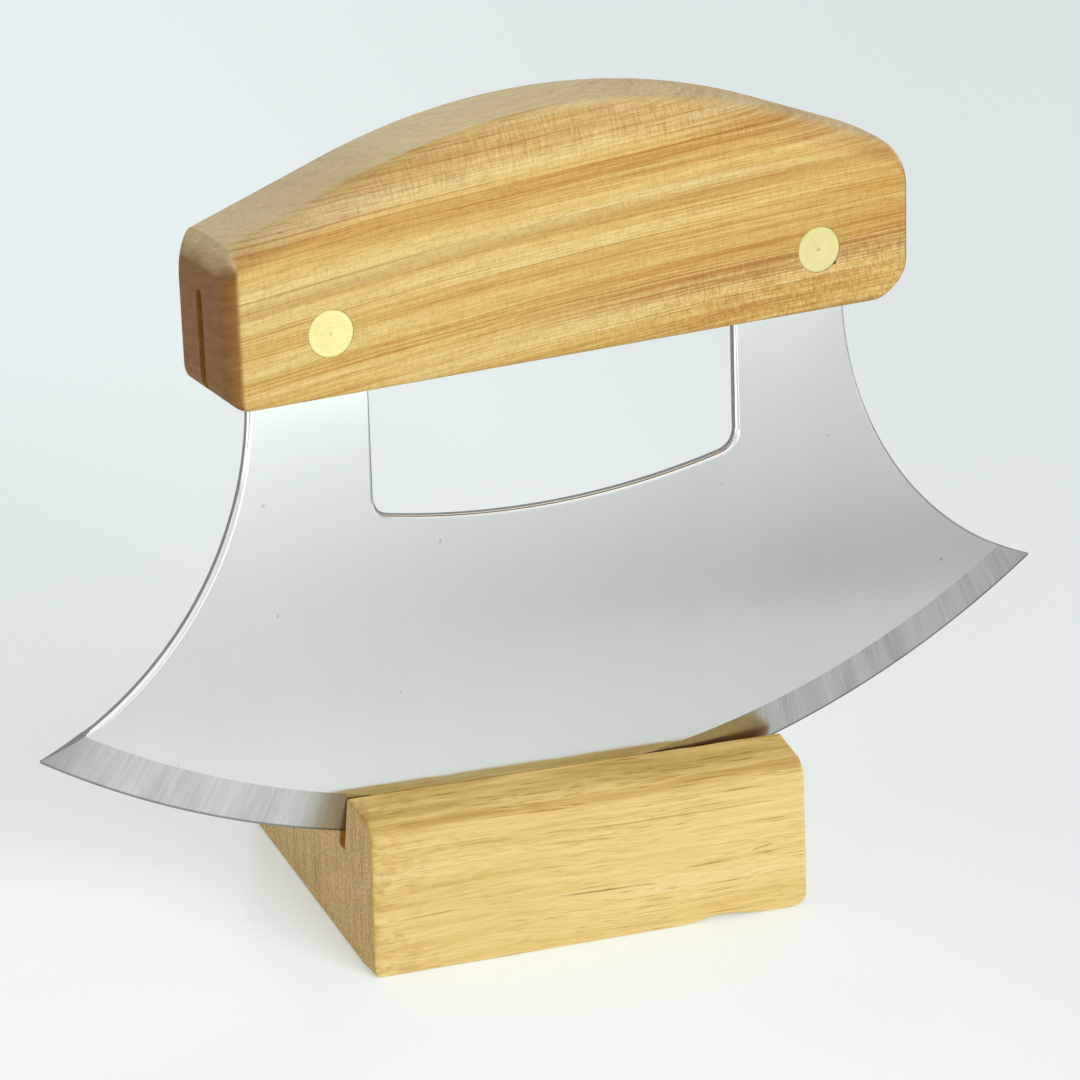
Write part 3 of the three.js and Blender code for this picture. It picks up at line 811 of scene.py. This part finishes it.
def map_brushing(piece):
    """A plain map of X and Z, along which the blade's faces are brushed."""
    layer = piece.data.uv_layers.new(name="brushing")
    for loop in piece.data.loops:
        point = piece.data.vertices[loop.vertex_index].co / (BLADE_SPAN * MM)
        layer.data[loop.index].uv = (point.x, point.z)


def make_blade(satin, ground, sheared):
    piece = to_object("blade_steel", skin(blade_rows()))
    over = 5
    holes = [pin(rivet_hole, -over, over, side * rivet_x, rivet_z) for side in (-1, 1)]
    cut(piece, grind_cutter(), *holes)
    ground_tilt = -cos(atan2(BLADE_THICKNESS - EDGE_LAND, GRIND_WIDTH))
    side_tilt = 0.15
    near_tilt = 0.006

    def choose(face):
        if abs(face.normal.y) < side_tilt:
            return 2
        return 1 if abs(face.normal.y - ground_tilt) < near_tilt else 0

    paint(piece, (satin, ground, sheared), choose)
    smooth(piece, radians(30))
    crisp_flats(piece)
    map_brushing(piece)
    return piece


# Handle

def corner_fall(corner, inward):
    """How far a corner has fallen at a distance in from the handle's end."""
    run, fall, roundness = corner
    share = max(run - inward, 0) / run
    return fall * (1 - (1 - share ** roundness) ** (1 / roundness))


def arch_height(x):
    away = abs(x - ARCH_CENTRE)
    bend = min(away, ARCH_LEFT if x < ARCH_CENTRE else ARCH_RIGHT)
    below = sqrt(ARCH_RADIUS ** 2 - bend ** 2)
    return HANDLE_UNDERSIDE + HANDLE_HEIGHT - (ARCH_RADIUS - below) - bend / below * (away - bend)


def ridge_sweep(x):
    """How far the cheek at x has turned towards the top where it meets the top strip."""
    share = min(max((x - RIDGE_FADE_FROM) / (RIDGE_FADE_TO - RIDGE_FADE_FROM), 0), 1)
    return RIDGE_SWEEP_LEFT + (RIDGE_SWEEP_RIGHT - RIDGE_SWEEP_LEFT) * share ** 2 * (3 - 2 * share)


def handle_section(x):
    """The handle's outline at x as points in Y and Z, from low behind, over the top, to low in front."""
    inward = HANDLE_LENGTH / 2 - abs(x)
    face = handle_face - corner_fall(LEFT_EDGE if x < 0 else RIGHT_EDGE, inward)
    top = arch_height(x) - corner_fall(LEFT_TOP if x < 0 else RIGHT_TOP, inward)
    low = HANDLE_UNDERSIDE + corner_fall(LEFT_LOW if x < 0 else RIGHT_LOW, inward)
    strip = min(TOP_STRIP_WIDTH / 2, face - LOW_EDGE_RADIUS)
    middle = cos(pi * x / HANDLE_LENGTH) ** 2
    drop = CHEEK_DROP_ENDS + (CHEEK_DROP_MIDDLE - CHEEK_DROP_ENDS) * middle
    sweep = ridge_sweep(x)
    half = []
    for i in range(EDGE_STEPS + 1):
        turn = pi / 2 * i / EDGE_STEPS
        half.append((face - LOW_EDGE_RADIUS * (1 - sin(turn)), low + LOW_EDGE_RADIUS * (1 - cos(turn))))
    for i in range(CHEEK_STEPS + 1):
        turn = sweep * i / CHEEK_STEPS
        share = (1 - cos(turn)) / (1 - cos(sweep))
        half.append((face - (face - strip) * share, top - drop * (1 - sin(turn) / sin(sweep))))
    crown = []
    for i in range(CROWN_STEPS - 1, -CROWN_STEPS, -1):
        share = i / CROWN_STEPS
        crown.append((strip * share, top + TOP_STRIP_CROWN * (1 - share ** 2)))
    return half + crown + [(-y, z) for y, z in reversed(half)]


def handle_stations():
    """The places along the handle where it has a section, closer together at its ends."""
    half = HANDLE_LENGTH / 2
    corners = (LEFT_EDGE, RIGHT_EDGE, LEFT_TOP, RIGHT_TOP, LEFT_LOW, RIGHT_LOW)
    zone = max(run for run, _, _ in corners)
    end = [half - zone * (1 - cos(pi / 2 * i / END_STEPS)) for i in range(END_STEPS)]
    middle = [(half - zone) * (2 * i / MIDDLE_STEPS - 1) for i in range(MIDDLE_STEPS + 1)]
    return [-x for x in end] + middle + end[::-1]


def make_handle(wood, sawn):
    rows = [[(x, y, z) for y, z in handle_section(x)] for x in handle_stations()]
    piece = to_object("handle_wood", skin(rows))
    kerf = BLADE_THICKNESS / 2 + KERF_PLAY
    kerf_top = arc((0, HANDLE_UNDERSIDE + KERF_DEPTH - kerf), kerf, 0, pi, 8)
    kerf_bar = along_x([(-kerf, 0), (kerf, 0)] + kerf_top, -HANDLE_LENGTH, HANDLE_LENGTH)
    cutters = [to_object("cutter", skin(kerf_bar))]
    head = RIVET_HEAD_DIAMETER / 2 + RIVET_HEAD_FIT
    seat = handle_face - RIVET_HEAD_DEPTH - RIVET_PLAY
    over = 1
    for x in (-rivet_x, rivet_x):
        cutters.append(pin(rivet_hole, -seat - over, seat + over, x, rivet_z))
        cutters.append(pin(head, -handle_face - over, -seat, x, rivet_z))
        cutters.append(pin(head, seat, handle_face + over, x, rivet_z))
    nick_x = rivet_x + head * cos(NICK_TURN)
    nick_z = rivet_z - head * sin(NICK_TURN)
    cutters.append(pin(NICK_RADIUS, -handle_face - over, -handle_face + NICK_DEPTH, nick_x, nick_z, 12))
    cut(piece, *cutters)

    def choose(face):
        reach = max(abs(piece.data.vertices[v].co.y) for v in face.vertices)
        return 1 if reach < (kerf + HAIR) * MM else 0

    paint(piece, (wood, sawn), choose)
    smooth(piece, radians(28))
    return piece


# Rivets

def make_rivet_head(name, x, side, material):
    """A dressed head, a shade below the wood, its edge broken, with a turning mark in its middle."""
    head = RIVET_HEAD_DIAMETER / 2
    face = handle_face - RIVET_SUNK
    under = handle_face - RIVET_HEAD_DEPTH
    barrel = BARREL_DIAMETER / 2
    profile = [
        (0.0, face - MARK_DEPTH),
        (MARK_RADIUS / 2, face - MARK_DEPTH * 0.75),
        (MARK_RADIUS, face),
        (head - RIVET_EDGE_BREAK, face),
        (head, face - RIVET_EDGE_BREAK),
        (head, under),
        (barrel, under),
        (barrel, HALVES_GAP),
        (0.0, HALVES_GAP),
    ]
    build = bmesh.new()
    rows = []
    for radius, depth in profile:
        turns = [2 * pi * i / RIVET_STEPS for i in range(RIVET_STEPS if radius else 1)]
        points = [(x + radius * cos(t), side * depth, rivet_z + radius * sin(t)) for t in turns]
        rows.append([build.verts.new(Vector(point) * MM) for point in points])
    for a, b in zip(rows, rows[1:]):
        for i in range(RIVET_STEPS):
            j = (i + 1) % RIVET_STEPS
            corners = [a[i % len(a)], a[j % len(a)], b[j % len(b)], b[i % len(b)]]
            build.faces.new(list(dict.fromkeys(corners)))
    bmesh.ops.recalc_face_normals(build, faces=build.faces)
    piece = to_object(name, build)
    piece.data.materials.append(material)
    smooth(piece, radians(25))
    return piece


# Stand

def stand_outline():
    """The stand's end view as points in Y and Z, with each point's share of the end's edge break."""
    foot = STAND_DEPTH / 2
    slope = tan(FRONT_SLOPE)
    toe = -foot + BASE_BREAK * (1 + slope)
    base = [(-foot + WEAR_REACH * slope, WEAR_REACH)]
    base += arc((toe, BASE_BREAK), BASE_BREAK, pi - FRONT_SLOPE, 3 * pi / 2, 6)
    base += [(-foot + WEAR_REACH, 0)]
    base += arc((foot - BASE_BREAK, BASE_BREAK), BASE_BREAK, -pi / 2, 0, 6)
    behind = arc((foot - BACK_EDGE_RADIUS, STAND_HEIGHT - BACK_EDGE_RADIUS), BACK_EDGE_RADIUS, 0, pi / 2, 8)
    back_floor = slot_back - slot_forward - SLOT_SNUG
    slot = [
        (slot_back - SLOT_SNUG, STAND_HEIGHT),
        (back_floor, slot_floor + SLOT_CORNER),
        (back_floor - SLOT_CORNER, slot_floor),
        (slot_front - slot_forward + SLOT_SNUG, slot_floor),
        (slot_front + 2 * SLOT_SNUG, STAND_HEIGHT),
    ]
    corner = FRONT_EDGE_RADIUS * tan((pi / 2 - FRONT_SLOPE) / 2)
    centre = (-foot + STAND_HEIGHT * slope + corner, STAND_HEIGHT - FRONT_EDGE_RADIUS)
    ahead = arc(centre, FRONT_EDGE_RADIUS, pi / 2, pi - FRONT_SLOPE, 12)
    points = base + behind + slot + ahead
    at_base = 0.3
    shares = [at_base] * len(base) + [1] * len(behind) + [0] * len(slot) + [1] * len(ahead)
    return points, shares


def worn(x, y, z):
    """A point of the stand as use has left it, low in front and along the top."""
    spread = DENT_LEFT if x < DENT_X else DENT_RIGHT
    dent = DENT_DEPTH * exp(-((x - DENT_X) / spread) ** 2)
    toe = LEFT_TOE if x < 0 else RIGHT_TOE
    reach = max(abs(x) - STAND_LENGTH / 2 + toe, 0) / toe
    dent += toe * (1 - sqrt(1 - min(reach, 1) ** 2))
    dent *= max(0, 1 - z / WEAR_REACH) * max(0, 1 - (y + STAND_DEPTH / 2) / WEAR_REACH)
    ridge = TOP_WAVER * exp(-((z - STAND_HEIGHT) / 2) ** 2) * (sin(x * 0.7) + sin(x * 0.31 + 1))
    return x, y + dent * tan(FRONT_SLOPE), z + dent - max(ridge, 0)


def stand_stations():
    """The places along the stand between its edge breaks where it has a section, closer near its ends."""
    half = STAND_LENGTH / 2
    close_step = 0.4
    end_zone = 3
    steps = 60
    close = [half - EDGE_BREAK - close_step * i for i in range(1, 5)]
    spaced = [(half - end_zone) * (1 - 2 * i / steps) for i in range(steps + 1)]
    return close + spaced + [-x for x in reversed(close)]


def make_stand(wood, sawn):
    points, shares = stand_outline()
    steps = 5
    end = []
    for i in range(steps + 1):
        turn = pi / 2 * i / steps
        outline = inset(points, shares, EDGE_BREAK * (1 - sin(turn)))
        end.append((STAND_LENGTH / 2 - EDGE_BREAK * (1 - cos(turn)), outline))
    sections = end + [(x, points) for x in stand_stations()]
    sections += [(-x, outline) for x, outline in reversed(end)]
    piece = to_object("stand_wood", skin([[worn(x, y, z) for y, z in outline] for x, outline in sections]))

    def choose(face):
        y = face.center.y / MM
        z = face.center.z / MM
        between = slot_front - slot_forward < y < slot_back
        within = slot_floor - SLOT_CORNER < z < STAND_HEIGHT - SLOT_CORNER
        return 1 if between and within and abs(face.normal.x) < 0.5 else 0

    paint(piece, (wood, sawn), choose)
    smooth(piece, radians(35))
    return piece


def dress():
    """Makes every piece, attaches it to its body, and hides the CAD node that it stands for."""
    brass = dressed_brass()
    pieces = [
        # The saw cuts' painted shade is lighter in the stand's slot and darker in the handle's kerf.
        (make_stand(stand_wood(), shaded_sawn_wood("slot_wood", 1.4)), "stand_block", "stand", "stand_wood"),
        (make_blade(satin_steel(), ground_steel(), shaded_sheared_steel()), "blade", "knife", "steel"),
        (make_handle(handle_wood(), shaded_sawn_wood("kerf_wood", 0.85)), "handle", "knife", "handle_wood"),
    ]
    for word, x in (("left", -rivet_x), ("right", rivet_x)):
        front = make_rivet_head(f"{word}_rivet_front", x, -1, brass)
        back = make_rivet_head(f"{word}_rivet_back", x, 1, brass)
        pieces.append((front, f"rivet_{word}_post", "knife", "brass"))
        pieces.append((back, f"rivet_{word}_barrel", "knife", "brass"))
    for piece, node, body, slot in pieces:
        if body == "knife":
            piece.data.transform(knife_pose)
        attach(piece, body)
        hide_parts(node)


bpy.context.scene.view_settings.view_transform = "Standard"
make_camera()
make_lamp()
make_room()
make_floor(floor_paint())
dress()

bpy.context.view_layer.update()
